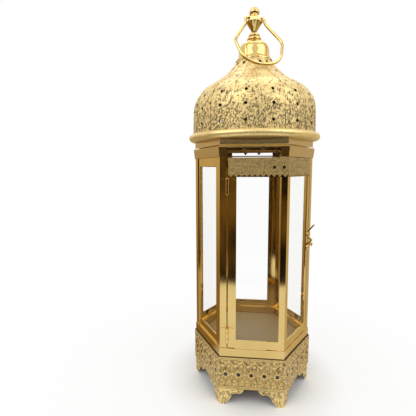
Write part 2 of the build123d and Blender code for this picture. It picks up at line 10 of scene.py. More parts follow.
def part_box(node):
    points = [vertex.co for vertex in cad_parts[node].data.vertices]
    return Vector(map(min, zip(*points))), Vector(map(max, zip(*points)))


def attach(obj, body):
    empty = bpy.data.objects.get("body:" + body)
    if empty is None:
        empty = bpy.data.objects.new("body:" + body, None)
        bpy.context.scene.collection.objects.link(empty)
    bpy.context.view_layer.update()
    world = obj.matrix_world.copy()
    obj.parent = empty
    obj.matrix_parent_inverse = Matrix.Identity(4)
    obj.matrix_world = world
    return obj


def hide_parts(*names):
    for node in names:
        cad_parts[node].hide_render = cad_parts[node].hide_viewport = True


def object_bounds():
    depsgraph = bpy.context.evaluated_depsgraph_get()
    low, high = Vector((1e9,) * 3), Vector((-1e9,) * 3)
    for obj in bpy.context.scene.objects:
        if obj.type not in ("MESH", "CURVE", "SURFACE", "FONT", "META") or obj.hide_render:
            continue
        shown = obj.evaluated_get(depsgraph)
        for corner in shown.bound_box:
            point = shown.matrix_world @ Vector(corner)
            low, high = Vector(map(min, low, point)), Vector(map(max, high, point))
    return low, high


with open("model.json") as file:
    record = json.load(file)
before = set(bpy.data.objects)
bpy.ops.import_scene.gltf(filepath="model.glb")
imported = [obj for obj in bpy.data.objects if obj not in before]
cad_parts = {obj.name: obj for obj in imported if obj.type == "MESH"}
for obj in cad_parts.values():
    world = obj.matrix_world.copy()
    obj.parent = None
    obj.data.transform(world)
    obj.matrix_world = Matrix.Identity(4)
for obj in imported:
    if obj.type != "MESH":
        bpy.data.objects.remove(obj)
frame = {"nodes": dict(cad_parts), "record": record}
CAD_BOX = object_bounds()

bl_info = {
    "name": "Hexagonal Fanous Lantern",
    "version": (1, 0, 0),
    "blender": (4, 5, 0),
    "location": "View3D > Sidebar > Lantern",
    "description": "Dresses the packed lantern in embossed ornament, polished gold and clear glass",
    "category": "Object",
}

MM = 0.001
SIDE_COUNT = 6
HALF_SIDE_ANGLE = math.pi / SIDE_COUNT
FRONT_AZIMUTH = -math.pi / 2
FACE_AZIMUTHS = [FRONT_AZIMUTH + 2 * HALF_SIDE_ANGLE * turn for turn in range(SIDE_COUNT)]
DOOR_AZIMUTHS = FACE_AZIMUTHS[:2]
BODY_OF_NODE = {
    node: body for body, nodes in frame["record"]["behaviour"]["bodies"].items() for node in nodes
}

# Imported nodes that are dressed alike, the last two groups by the start of their names
CROWN_NODES = ("cupola", "collar", "finial", "finial_nut", "bail")
POLISHED_STARTS = (
    "base_plinth", "corner_post", "pane_frame", "pane_clips",
    "door_frame", "door_pane_clips", "hinge", "latch",
)
GLASS_STARTS = ("glass_pane", "door_pane_front", "door_pane_right")

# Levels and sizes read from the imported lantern, whose third foot stands on the X axis
SKIRT_LOW, SKIRT_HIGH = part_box("base_skirt")
SKIRT_APOTHEM = SKIRT_HIGH.x * math.cos(HALF_SIDE_ANGLE)
SKIRT_HALF_SIDE = SKIRT_HIGH.x / 2
FOOT_LOW, FOOT_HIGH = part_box("foot_3")
FOOT_APOTHEM = FOOT_HIGH.x * math.cos(HALF_SIDE_ANGLE)
FOOT_HALF_SIDE = FOOT_HIGH.x / 2
DOME_LOW, DOME_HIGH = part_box("dome")
FRIEZE_LOW, FRIEZE_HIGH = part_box("door_frieze")

# Limits for welding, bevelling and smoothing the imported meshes
WELD_REACH = 0.002 * MM
FLAT_ANGLE = math.radians(0.05)
BEVEL_ANGLE = math.radians(40)
SMOOTH_ANGLE = math.radians(35)
RELIEF_SMOOTH_ANGLE = math.radians(50)
# Cosine to the outward side under which a face of a shell counts as inside and gets painted shade
INSIDE_LIMIT = 0.3

WHITE = (1.0, 1.0, 1.0, 1.0)
# Name, place, width and power of each lamp
SOFT_BOXES = (
    ("soft_box_left", (-0.75, -0.75, 1.05), 1.1, 6.0),
    ("soft_box_right", (0.85, -0.55, 0.95), 1.0, 4.5),
    ("soft_box_top", (0.0, 0.35, 1.35), 1.0, 3.0),
)


def length_setting(name, description, default):
    """A length that a user can change."""
    return FloatProperty(name=name, description=description, default=default, unit="LENGTH")


def angle_setting(name, description, degrees):
    """An angle that a user can change, given in degrees."""
    return FloatProperty(name=name, description=description, default=math.radians(degrees), subtype="ANGLE")


def share_settings(name, description, default):
    """A row of shares that a user can change."""
    return FloatVectorProperty(name=name, description=description, default=default, size=len(default))


def colour_setting(name, description, default):
    """A colour that a user can change."""
    return FloatVectorProperty(name=name, description=description, default=default, subtype="COLOR")


class DomeSettings(bpy.types.PropertyGroup):
    """Shape of the pierced dome, and the grid of the ornament on it."""

    gore_count: IntProperty(name="Gores", description="Number of gores between ribs", default=16, min=3)
    turn: angle_setting("Turn", "Azimuth of one rib", -85.75)
    foot_radius: length_setting("Foot radius", "Radius at the rim", 73.0 * MM)
    wall_radius: length_setting("Wall radius", "Radius at the shoulder", 72.5 * MM)
    wall_height: length_setting("Wall height", "Height of the upright wall", 25.0 * MM)
    shoulder_radius: length_setting("Shoulder radius", "Radius of the round shoulder", 35.0 * MM)
    shoulder_angle: angle_setting("Shoulder angle", "Angle that the shoulder turns through", 63.4)
    mouth_radius: length_setting("Mouth radius", "Radius at the mouth", 21.3 * MM)
    mouth_height: length_setting("Mouth height", "Height of the upright mouth", 1.8 * MM)
    rib_width: length_setting("Rib width", "Width of the rib on each seam", 2.2 * MM)
    hole_radius: length_setting("Hole radius", "Radius of the pierced holes", 1.7 * MM)
    hole_shares: share_settings(
        "Hole levels", "Shares of the height where each gore is pierced", (0.104, 0.298, 0.465, 0.936)
    )
    bead_shares: share_settings(
        "Bead levels", "Shares of the height where the beaded lines run", (0.72, 0.80, 0.86)
    )
    row_step: length_setting("Row step", "Rise between two rows of scrolls", 5.0 * MM)
    column_step: length_setting("Column step", "Width that one scroll takes", 3.9 * MM)
    scroll_radius: length_setting("Scroll radius", "Radius of a scroll", 1.75 * MM)


class BaseSettings(bpy.types.PropertyGroup):
    """Places that the ornament of the base skirt and the feet keeps to."""

    hole_count: IntProperty(name="Holes", description="Odd number of holes in a side", default=5, min=1)
    hole_pitch: length_setting("Hole pitch", "Step between two holes", 14.6 * MM)
    hole_level: length_setting("Hole level", "Height of the holes over the skirt's lower edge", 17.7 * MM)
    wing_length: length_setting("Wing length", "Length of a foot's wing", 28.0 * MM)
    wing_inset: length_setting("Wing inset", "How far the edge line lies inside a wing", 1.3 * MM)


class FriezeSettings(bpy.types.PropertyGroup):
    """Places that the ornament of the strip over the door keeps to."""

    half_length: length_setting("Half length", "Half the length of the strip on one side", 30.6 * MM)
    shift: length_setting("Shift", "How far the strip's middle lies from the side's middle", 4.5 * MM)
    hole_level: length_setting("Hole level", "Height of the holes over the tips of the teeth", 10.3 * MM)
    near_hole: length_setting("Near hole", "Distance of one hole from the front's middle", 21.9 * MM)
    far_hole: length_setting("Far hole", "Distance of the other hole from the front's middle", 31.9 * MM)
    # Painted shade: size and depth of the dark discs that make the holes look dark
    shade_disc_radius: length_setting("Shade disc radius", "Radius of the rivets in the holes", 2.6 * MM)
    shade_disc_depth: length_setting("Shade disc depth", "How far the rivets lie behind the strip's face", 2.3 * MM)


class ReliefSettings(bpy.types.PropertyGroup):
    """How far the embossed ornament stands out and how thick its lines are."""

    line: length_setting("Line", "Half width of a scroll line", 0.5 * MM)
    fine_line: length_setting("Fine line", "Half width of a border line", 0.36 * MM)
    leaf: length_setting("Leaf", "Half width of a leaf", 0.85 * MM)
    bead: length_setting("Bead", "Radius of a bead", 0.85 * MM)
    sunk_share: FloatProperty(
        name="Sunk share", description="Share of each line's half width under the sheet",
        default=0.45, min=0, max=1,
    )
    edge: length_setting("Edge", "Width of the soft edge on cut sheet", 0.22 * MM)


class FinishSettings(bpy.types.PropertyGroup):
    """Colours of the finishes of the lantern and of the floor under it."""

    polished: colour_setting("Polished gold", "Mirror plating", (0.76, 0.56, 0.22))
    polished_deep: colour_setting("Deep gold", "Tarnish in the plating", (0.64, 0.44, 0.15))
    satin: colour_setting("Satin gold", "Brushed plating of the neck band", (0.60, 0.47, 0.25))
    champagne: colour_setting(
        "Champagne gold", "Dome, rim, feet and the raised ornament of the base", (0.90, 0.69, 0.30)
    )
    ground: colour_setting(
        "Ground gold", "Sheet of the base and of the strip over the door", (0.46, 0.32, 0.115)
    )
    # Umber is also the lighter tone in the painted shade inside the shells
    umber_wash_and_shade: colour_setting("Umber", "Antique wash in the recesses", (0.085, 0.050, 0.019))
    # Painted shade: near black for the inside of the shells and their holes
    painted_shade: colour_setting("Painted shade", "Unplated inside of the pierced sheet", (0.018, 0.011, 0.006))
    floor_paint: colour_setting("Floor paint", "Lacquer on the candle floor", (0.37, 0.26, 0.115))
    glass_tint: colour_setting("Glass tint", "Colour of the panes", (0.997, 0.999, 0.997))
    studio: colour_setting("Studio floor", "Floor that the lantern stands on", (0.88, 0.87, 0.85))


class StageSettings(bpy.types.PropertyGroup):
    """Camera, floor, and the room that the metal mirrors."""

    camera_place: FloatVectorProperty(
        name="Camera", description="Where the camera stands",
        default=(-0.00608, -0.42211, 0.27003), subtype="XYZ",
    )
    camera_yaw: angle_setting("Yaw", "Turn of the camera to the left", 6.79)
    camera_pitch: angle_setting("Pitch", "Tilt of the camera", -6.54)
    camera_roll: angle_setting("Roll", "Roll of the camera", -0.23)
    lens: FloatProperty(name="Lens", description="Focal length in millimetres", default=28.863)
    floor_front: length_setting("Floor front", "How far the floor runs to the front", 0.473)
    floor_reach: length_setting("Floor reach", "How far the floor runs to the sides and back", 0.34)
    ambient: colour_setting("Ambient", "Light from all round", (1.0, 0.99, 0.97))
    ceiling: colour_setting("Ceiling", "Upper half of the room", (1.0, 0.98, 0.94))
    right_wall: colour_setting("Right wall", "Wall to the right", (0.65, 0.54, 0.34))
    left_wall_high: colour_setting("High left wall", "Upper part of the left wall", (0.63, 0.49, 0.27))
    left_wall_low: colour_setting("Low left wall", "Lower part of the left wall", (0.28, 0.165, 0.05))
    shade_lit: colour_setting("Lit shade", "Paler shapes low in front", (0.17, 0.10, 0.03))
    shade_dark: colour_setting("Dark shade", "Dark between those shapes", (0.012, 0.007, 0.004))


class Wire:
    """One output socket of a node tree. Arithmetic on it adds Math nodes to the tree."""

    def __init__(self, tree, socket):
        self.tree = tree
        self.socket = socket

    def math(self, operation, *values):
        return add_node(self.tree, "ShaderNodeMath", {"operation": operation}, dict(enumerate(values)))

    def larger(self, other):
        return self.math("MAXIMUM", self, other)

    def __abs__(self):
        return self.math("ABSOLUTE", self)

    def __add__(self, other):
        return self.math("ADD", self, other)

    def __sub__(self, other):
        return self.math("SUBTRACT", self, other)

    def __rsub__(self, other):
        return self.math("SUBTRACT", other, self)

    def __mul__(self, other):
        return self.math("MULTIPLY", self, other)

    __radd__ = __add__
    __rmul__ = __mul__


def add_node(tree, kind, settings, sockets, output=0):
    """Add a node: its settings first, then the values or wires of its sockets. Returns one output."""
    node = tree.nodes.new(kind)
    for name, value in settings.items():
        if name == "stops":
            set_stops(node.color_ramp, value)
        else:
            setattr(node, name, value)
    for name, value in sockets.items():
        if isinstance(value, Wire):
            tree.links.new(value.socket, node.inputs[name])
        else:
            node.inputs[name].default_value = value
    return Wire(tree, node.outputs[output]) if node.outputs else None


def set_stops(ramp, stops):
    """Give a colour ramp its stops, each a place and a grey level."""
    while len(ramp.elements) < len(stops):
        ramp.elements.new(1.0)
    for element, (place, level) in zip(ramp.elements, stops):
        element.position = place
        element.color = (level, level, level, 1.0)


def rgba(colour):
    """A colour with full opacity."""
    return (*colour, 1.0)


def object_place(tree):
    """Object coordinates, which are the lantern's own metres."""
    return add_node(tree, "ShaderNodeTexCoord", {}, {}, "Object")


def coordinate(tree, vector, axis):
    """One coordinate of a vector."""
    return add_node(tree, "ShaderNodeSeparateXYZ", {}, {"Vector": vector}, axis)


def noise(tree, scale, detail, roughness=0.5, distortion=0.0, stretch=1.0):
    """Noise on object coordinates, about 0.5 in the middle, drawn out upwards by a stretch."""
    place = object_place(tree)
    if stretch != 1.0:
        squeeze = {"Vector": place, "Scale": (1.0, 1.0, 1.0 / stretch)}
        place = add_node(tree, "ShaderNodeMapping", {}, squeeze)
    sockets = {
        "Vector": place,
        "Scale": scale,
        "Detail": detail,
        "Roughness": roughness,
        "Distortion": distortion,
    }
    return add_node(tree, "ShaderNodeTexNoise", {}, sockets, "Fac")


def ramp(tree, value, stops):
    """Grey ramp of a value."""
    return add_node(tree, "ShaderNodeValToRGB", {"stops": stops}, {"Fac": value}, "Color")


def mix_colour(tree, factor, first, second):
    """Mix two colours by a factor. Sockets 6 and 7 of a Mix node are its colours, and output 2 the mix."""
    return add_node(tree, "ShaderNodeMix", {"data_type": "RGBA"}, {0: factor, 6: first, 7: second}, 2)


def mix_shader(tree, factor, first, second):
    """Mix two shaders by a factor."""
    return add_node(tree, "ShaderNodeMixShader", {}, {0: factor, 1: first, 2: second})


def bump(tree, height, strength, distance):
    """Normal bent by a height."""
    sockets = {"Height": height, "Strength": strength, "Distance": distance}
    return add_node(tree, "ShaderNodeBump", {}, sockets, "Normal")


def ray_is(tree, kind):
    """One for rays of a kind, such as Camera or Glossy, and zero for others."""
    return add_node(tree, "ShaderNodeLightPath", {}, {}, f"Is {kind} Ray")


def end_finish(tree, sockets):
    """End a finish in one shader, which is all metal unless its sockets say otherwise."""
    surface = add_node(tree, "ShaderNodeBsdfPrincipled", {}, {"Metallic": 1.0, **sockets}, "BSDF")
    add_node(tree, "ShaderNodeOutputMaterial", {}, {"Surface": surface})


def tarnish(tree, scale):
    """Slow patches where the plating has gone deeper."""
    return ramp(tree, noise(tree, scale, detail=4.0, roughness=0.6), ((0.35, 0.0), (0.75, 1.0)))


def mirror_gold(tree, colours):
    """Mirror plating with slow waves in the sheet, smudges and a little tarnish."""
    deeper = tarnish(tree, scale=26.0) * 0.6
    smudge = noise(tree, scale=70.0, detail=5.0, roughness=0.65)
    waves = noise(tree, scale=34.0, detail=1.0, roughness=0.4, stretch=2.5)
    sockets = {
        "Base Color": mix_colour(tree, deeper, rgba(colours.polished), rgba(colours.polished_deep)),
        "Roughness": smudge * 0.12 + 0.03,
        "Normal": bump(tree, waves, strength=0.16, distance=1.0 * MM),
    }
    end_finish(tree, sockets)


def brushed_gold(tree, colours):
    """Plating brushed level, a little tarnished."""
    deeper = tarnish(tree, scale=40.0) * 0.5
    brushing = noise(tree, scale=600.0, detail=3.0, roughness=0.6, stretch=0.12)
    sockets = {
        "Base Color": mix_colour(tree, deeper, rgba(colours.satin), rgba(colours.polished_deep)),
        "Roughness": brushing * 0.12 + 0.1,
        "Normal": bump(tree, brushing, strength=0.15, distance=0.2 * MM),
    }
    end_finish(tree, sockets)


def champagne_gold(tree, colours):
    """Rim and raised ornament: pale gold rubbed bright, with the antique wash left in small pits."""
    pits = ramp(tree, noise(tree, scale=420.0, detail=4.0, roughness=0.6), ((0.56, 0.0), (0.74, 1.0)))
    patches = ramp(tree, noise(tree, scale=48.0, detail=3.0, roughness=0.55), ((0.3, 0.0), (0.75, 1.0)))
    warm = mix_colour(tree, patches * 0.4, rgba(colours.champagne), rgba(colours.ground))
    grain = noise(tree, scale=900.0, detail=3.0)
    sockets = {
        "Base Color": mix_colour(tree, pits * 0.4, warm, rgba(colours.umber_wash_and_shade)),
        "Metallic": 0.6,
        "Roughness": grain * 0.16 + 0.22,
        "Normal": bump(tree, grain, strength=0.25, distance=0.3 * MM),
    }
    end_finish(tree, sockets)


def antique_sheet(tree, colours, plain, levels, washes, metal_share, depth):
    """Embossed sheet: gold with a dark wash left in thin curled marks, more or fewer by level."""
    limits = {
        "Value": coordinate(tree, object_place(tree), "Z"),
        "From Min": levels[0],
        "From Max": levels[1],
        "To Min": washes[0],
        "To Max": washes[1],
    }
    wash = add_node(tree, "ShaderNodeMapRange", {}, limits)
    curl = noise(tree, scale=440.0, detail=1.0, roughness=0.4, distortion=0.6, stretch=1.8) - 0.5
    thread = ramp(tree, abs(curl), ((0.045, 1.0), (0.095, 0.0)))
    present = ramp(tree, noise(tree, scale=240.0, detail=2.0) + wash, ((0.52, 0.0), (0.60, 1.0)))
    marks = thread * present
    patches = ramp(tree, noise(tree, scale=30.0, detail=3.0), ((0.35, 0.0), (0.7, 1.0)))
    sheet = mix_colour(tree, patches * 0.5, rgba(plain), rgba(0.8 * channel for channel in plain))
    sockets = {
        "Base Color": mix_colour(tree, marks * depth, sheet, rgba(colours.umber_wash_and_shade)),
        "Metallic": metal_share - marks * (0.6 * metal_share),
        "Roughness": marks * 0.2 + 0.32,
        "Normal": bump(tree, 1.0 - marks, strength=0.6, distance=0.4 * MM),
    }
    end_finish(tree, sockets)


def dome_sheet(tree, colours):
    """Dome: pale sheet, its wash dense over the rim and thin on the shoulder."""
    levels = (DOME_LOW.z + 4 * MM, DOME_LOW.z + 54 * MM)
    washes = (0.20, -0.035)
    antique_sheet(tree, colours, colours.champagne, levels, washes, metal_share=0.5, depth=0.84)


def skirt_sheet(tree, colours):
    """Base skirt and the lines on the feet: darker sheet with more shine."""
    levels = (SKIRT_LOW.z, SKIRT_HIGH.z)
    washes = (-0.01, 0.03)
    antique_sheet(tree, colours, colours.ground, levels, washes, metal_share=0.75, depth=0.85)


def foot_sheet(tree, colours):
    """Feet: pale sheet with a thinner wash."""
    levels = (FOOT_LOW.z, SKIRT_LOW.z)
    washes = (-0.02, 0.02)
    antique_sheet(tree, colours, colours.champagne, levels, washes, metal_share=0.5, depth=0.7)


def frieze_sheet(tree, colours):
    """Strip over the door: darker sheet with a faint, even wash."""
    levels = (FRIEZE_LOW.z, FRIEZE_HIGH.z)
    washes = (0.08, 0.08)
    antique_sheet(tree, colours, colours.ground, levels, washes, metal_share=0.5, depth=0.5)


def painted_shade_finish(tree, colours):
    """Painted shade: dark sheet, not metal, standing in for the shade inside the shells and in their holes.
    """
    painted_shade = noise(tree, scale=160.0, detail=4.0, roughness=0.6)
    sockets = {
        "Base Color": mix_colour(tree, painted_shade, rgba(colours.painted_shade), rgba(colours.umber_wash_and_shade)),
        "Metallic": 0.0,
        "Roughness": painted_shade * 0.3 + 0.55,
    }
    end_finish(tree, sockets)


def candle_floor_paint(tree, colours):
    """Matt taupe lacquer with faint mottling."""
    darker = rgba(0.82 * channel for channel in colours.floor_paint)
    mottle = noise(tree, scale=90.0, detail=5.0, roughness=0.6)
    sockets = {
        "Base Color": mix_colour(tree, mottle, rgba(colours.floor_paint), darker),
        "Metallic": 0.0,
        "Roughness": mottle * 0.2 + 0.35,
        "Normal": bump(tree, noise(tree, scale=700.0, detail=2.0), strength=0.12, distance=0.2 * MM),
    }
    end_finish(tree, sockets)


def window_glass(tree, colours):
    """Thin window glass: clear straight through, mirroring a little more where it is seen aslant."""
    smear = noise(tree, scale=14.0, detail=2.0)
    clear = add_node(tree, "ShaderNodeBsdfTransparent", {}, {"Color": rgba(colours.glass_tint)})
    sockets = {"Base Color": WHITE, "Metallic": 1.0, "Roughness": smear * 0.04}
    mirror = add_node(tree, "ShaderNodeBsdfPrincipled", {}, sockets, "BSDF")
    aslant = add_node(tree, "ShaderNodeLayerWeight", {}, {"Blend": 0.5}, "Facing")
    glint = aslant * aslant * aslant * 0.16 + 0.006
    add_node(tree, "ShaderNodeOutputMaterial", {}, {"Surface": mix_shader(tree, glint, clear, mirror)})


def studio_floor(tree, colours):
    """Pale floor, white to the eye away from the feet. Metal sees none of it behind the lantern."""
    pale = add_node(tree, "ShaderNodeBsdfDiffuse", {}, {"Color": rgba(colours.studio)})
    glow = add_node(tree, "ShaderNodeEmission", {}, {"Color": WHITE, "Strength": 1.0})
    place = object_place(tree)
    from_axis = add_node(tree, "ShaderNodeVectorMath", {"operation": "LENGTH"}, {0: place}, "Value")
    open_floor = ramp(tree, from_axis, ((0.062, 0.0), (0.12, 0.8), (0.33, 1.0)))
    mirror = ray_is(tree, "Glossy")
    seen = ray_is(tree, "Camera").larger(ray_is(tree, "Transmission")).larger(mirror * 0.65)
    lit = mix_shader(tree, seen * open_floor, pale, glow)
    behind = ramp(tree, coordinate(tree, place, "Y") * 10.0 + 0.5, ((0.3, 0.0), (0.7, 1.0)))
    clear = add_node(tree, "ShaderNodeBsdfTransparent", {}, {})
    surface = mix_shader(tree, mirror * behind, lit, clear)
    add_node(tree, "ShaderNodeOutputMaterial", {}, {"Surface": surface})


def finish_of(maker):
    """The finish that a maker builds, named after it and built the first time it is asked for."""
    finish = bpy.data.materials.get(maker.__name__)
    if finish is None:
        finish = bpy.data.materials.new(maker.__name__)
        finish.use_nodes = True
        finish.node_tree.nodes.clear()
        maker(finish.node_tree, bpy.context.scene.lantern_finish)
    return finish


def paint(piece, maker):
    """Give a piece one finish all over."""
    piece.data.materials.clear()
    piece.data.materials.append(finish_of(maker))


def paint_shade_on(shell, is_inside):
    """Paint shade on the faces of a shell that a rule calls inside, so that its inside and its holes look
    dark.
    """
    shell.data.materials.append(finish_of(painted_shade_finish))
    for face in shell.data.polygons:
        if is_inside(face):
            face.material_index = 1


def looks_inside(face):
    """Whether a face of a six-sided shell looks inwards, up, down or along its side."""
    azimuth = math.atan2(face.center.y, face.center.x)
    side = max(FACE_AZIMUTHS, key=lambda middle: math.cos(azimuth - middle))
    return face.normal.x * math.cos(side) + face.normal.y * math.sin(side) < INSIDE_LIMIT


def nodes_starting(starts):
    """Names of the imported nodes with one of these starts, in order."""
    return sorted(node for node in BODY_OF_NODE if node.startswith(starts))


def select_only(piece):
    """Leave one object selected and active."""
    bpy.ops.object.select_all(action="DESELECT")
    piece.select_set(True)
    bpy.context.view_layer.objects.active = piece


def seat(piece, node, replace=False):
    """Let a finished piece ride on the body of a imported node."""
    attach(piece, BODY_OF_NODE[node])
    if replace:
        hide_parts(node)


def dress(node, maker, edge=0.0):
    """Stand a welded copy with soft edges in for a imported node."""
    source = frame["nodes"][node]
    piece = bpy.data.objects.new(f"{node}_finished", source.data.copy())
    bpy.context.scene.collection.objects.link(piece)
    select_only(piece)
    bpy.ops.object.mode_set(mode="EDIT")
    bpy.ops.mesh.select_all(action="SELECT")
    bpy.ops.mesh.customdata_custom_splitnormals_clear()
    bpy.ops.mesh.remove_doubles(threshold=WELD_REACH)
    bpy.ops.mesh.dissolve_limited(angle_limit=FLAT_ANGLE)
    bpy.ops.object.mode_set(mode="OBJECT")
    if edge:
        soft = piece.modifiers.new("soft_edge", "BEVEL")
        soft.width = edge
        soft.segments = 2
        soft.limit_method = "ANGLE"
        soft.angle_limit = BEVEL_ANGLE
        soft.use_clamp_overlap = True
        bpy.ops.object.modifier_apply(modifier=soft.name)
    bpy.ops.object.shade_smooth_by_angle(angle=SMOOTH_ANGLE)
    if edge:
        level = piece.modifiers.new("level_faces", "WEIGHTED_NORMAL")
        level.keep_sharp = True
        bpy.ops.object.modifier_apply(modifier=level.name)
    paint(piece, maker)
    seat(piece, node, replace=True)
    return piece


def around(centre, radius, angle):
    """Point at a radius and an angle from a centre."""
    return (centre[0] + radius * math.cos(angle), centre[1] + radius * math.sin(angle))


class Ornament:
    """Raised lines of one embossed panel: points across and up it, in metres, with half widths."""

    def __init__(self):
        self.lines = []

    def line(self, points, widths, closed=False):
        self.lines.append((points, widths, closed))

    def straight(self, start, end, width, count):
        across, up = end[0] - start[0], end[1] - start[1]
        shares = [k / (count - 1) for k in range(count)]
        self.line([(start[0] + across * share, start[1] + up * share) for share in shares], [width] * count)

    def ring(self, centre, radius, width, count=14):
        points = [around(centre, radius, 2 * math.pi * k / count) for k in range(count)]
        self.line(points, [width] * count, closed=True)

    def leaf(self, root, tip, width, bend=0.0, count=6):
        """A leaf: thin at its root and tip, bowed to one side by a share of its length."""
        across, up = tip[0] - root[0], tip[1] - root[1]
        thin_share = 0.22
        points, widths = [], []
        for k in range(count):
            share = k / (count - 1)
            bow = bend * math.sin(math.pi * share)
            points.append((root[0] + across * share - up * bow, root[1] + up * share + across * bow))
            swell = math.sin(math.pi * (0.04 + 0.92 * share))
            widths.append(width * (thin_share + (1 - thin_share) * swell))
        self.line(points, widths)

    def scroll(self, centre, radius, start, turns, width, count):
        """A spiral from its outer end to a fat eye in the middle."""
        eye_share = 0.18
        points, widths = [], []
        for k in range(count):
            share = k / (count - 1)
            reach = radius * (1 - (1 - eye_share) * share)
            points.append(around(centre, reach, start + 2 * math.pi * turns * share))
            widths.append(width * (0.75 + 0.5 * share))
        self.line(points, widths)

    def bead(self, centre, radius):
        """A bead: one fat point between two thinner ends."""
        reach, end_width = 0.6 * radius, 0.55 * radius
        points = [(centre[0] - reach, centre[1]), centre, (centre[0] + reach, centre[1])]
        self.line(points, [end_width, radius, end_width])

    def rosette(self, centre, inner, outer, width, petals):
        """Petals round a centre, between two radii."""
        for k in range(petals):
            angle = 2 * math.pi * (k + 0.5) / petals
            self.leaf(around(centre, inner, angle), around(centre, outer, angle), width, count=4)

    def mirror(self):
        """Repeat every line on the other half of the panel."""
        for points, widths, closed in list(self.lines):
            self.line([(-across, up) for across, up in points], widths, closed)

    def trim(self, half):
        """Drop the lines that reach past the panel's ends."""
        self.lines = [line for line in self.lines if max(abs(across) for across, up in line[0]) <= half]


def emboss(name, ornament, place, azimuths, maker, node):
    """Turn an ornament into raised metal on a node's panels, one at each azimuth, with its finish."""
    relief = bpy.context.scene.lantern_relief
    curve = bpy.data.curves.new(name, "CURVE")
    curve.dimensions = "3D"
    curve.bevel_depth = 1.0
    curve.bevel_resolution = 1
    curve.use_fill_caps = True
    for points, widths, closed in ornament.lines:
        spline = curve.splines.new("POLY")
        spline.points.add(len(points) - 1)
        spline.use_cyclic_u = closed
        for point, (across, up), width in zip(spline.points, points, widths):
            point.co = (*place(across, up, -relief.sunk_share * width), 1.0)
            point.radius = width
    piece = bpy.data.objects.new(name, curve)
    bpy.context.scene.collection.objects.link(piece)
    select_only(piece)
    bpy.ops.object.convert(target="MESH")
    piece = ring_of(bpy.context.view_layer.objects.active, azimuths)
    paint(piece, maker)
    seat(piece, node)


def ring_of(piece, azimuths):
    """Copy a piece modelled at azimuth zero to each azimuth and join the copies."""
    copies = []
    for azimuth in azimuths:
        copy = bpy.data.objects.new(piece.name, piece.data.copy())
        copy.data.transform(Matrix.Rotation(azimuth, 4, "Z"))
        bpy.context.scene.collection.objects.link(copy)
        copies.append(copy)
    name = piece.name
    bpy.data.objects.remove(piece)
    bpy.ops.object.select_all(action="DESELECT")
    for copy in copies:
        copy.select_set(True)
    bpy.context.view_layer.objects.active = copies[0]
    if len(copies) > 1:
        bpy.ops.object.join()
    joined = bpy.context.view_layer.objects.active
    joined.name = name
    bpy.ops.object.shade_smooth_by_angle(angle=RELIEF_SMOOTH_ANGLE)
    return joined


def face_place(apothem, base):
    """Placing rule of a flat side at azimuth zero."""

    def place(across, up, lift):
        return (apothem + lift, across, base + up)

    return place


class DomeProfile:
    """The dome's ogee, measured along the sheet from the rim."""

    arc_steps = 48

    def __init__(self, settings):
        base = DOME_LOW.z
        top = DOME_HIGH.z
        foot = Vector((settings.foot_radius, base))
        shoulder = Vector((settings.wall_radius, base + settings.wall_height))
        bend = Vector((settings.wall_radius - settings.shoulder_radius, shoulder.y))
        end_angle = settings.shoulder_angle
        side = Vector((-math.cos(end_angle), -math.sin(end_angle)))
        flare = bend - settings.shoulder_radius * side
        mouth = Vector((settings.mouth_radius, top - settings.mouth_height))
        chord = mouth - flare
        flare_radius = -chord.length_squared / (2 * chord.dot(side))
        hollow = flare - side * flare_radius
        flare_angle = 2 * math.asin(chord.length / (2 * flare_radius))
        self.path = [foot, shoulder]
        self.add_arc(bend, settings.shoulder_radius, 0.0, end_angle)
        self.add_arc(hollow, flare_radius, math.pi + end_angle, -flare_angle)
        self.path.append(Vector((settings.mouth_radius, top)))
        self.levels = [point.y for point in self.path]
        self.runs = [0.0]
        for first, second in zip(self.path, self.path[1:]):
            self.runs.append(self.runs[-1] + (second - first).length)
        self.length = self.runs[-1]

    def add_arc(self, centre, radius, start, sweep):
        """Go on round a centre, from a start angle through a sweep."""
        for k in range(1, self.arc_steps + 1):
            angle = start + sweep * k / self.arc_steps
            self.path.append(centre + radius * Vector((math.cos(angle), math.sin(angle))))

    def at(self, up):
        """Radius and level, then outward normal, at a distance along the sheet."""
        up = min(max(up, 0.0), self.length)
        k = min(max(bisect.bisect_left(self.runs, up), 1), len(self.path) - 1)
        first, second = self.path[k - 1], self.path[k]
        share = (up - self.runs[k - 1]) / (self.runs[k] - self.runs[k - 1])
        along = (second - first).normalized()
        return first.lerp(second, share), Vector((along.y, -along.x))

    def up_at(self, level):
        """Distance along the sheet at a level."""
        k = min(max(bisect.bisect_left(self.levels, level), 1), len(self.path) - 1)
        first, second = self.path[k - 1], self.path[k]
        share = (level - first.y) / (second.y - first.y)
        return self.runs[k - 1] + share * (self.runs[k] - self.runs[k - 1])


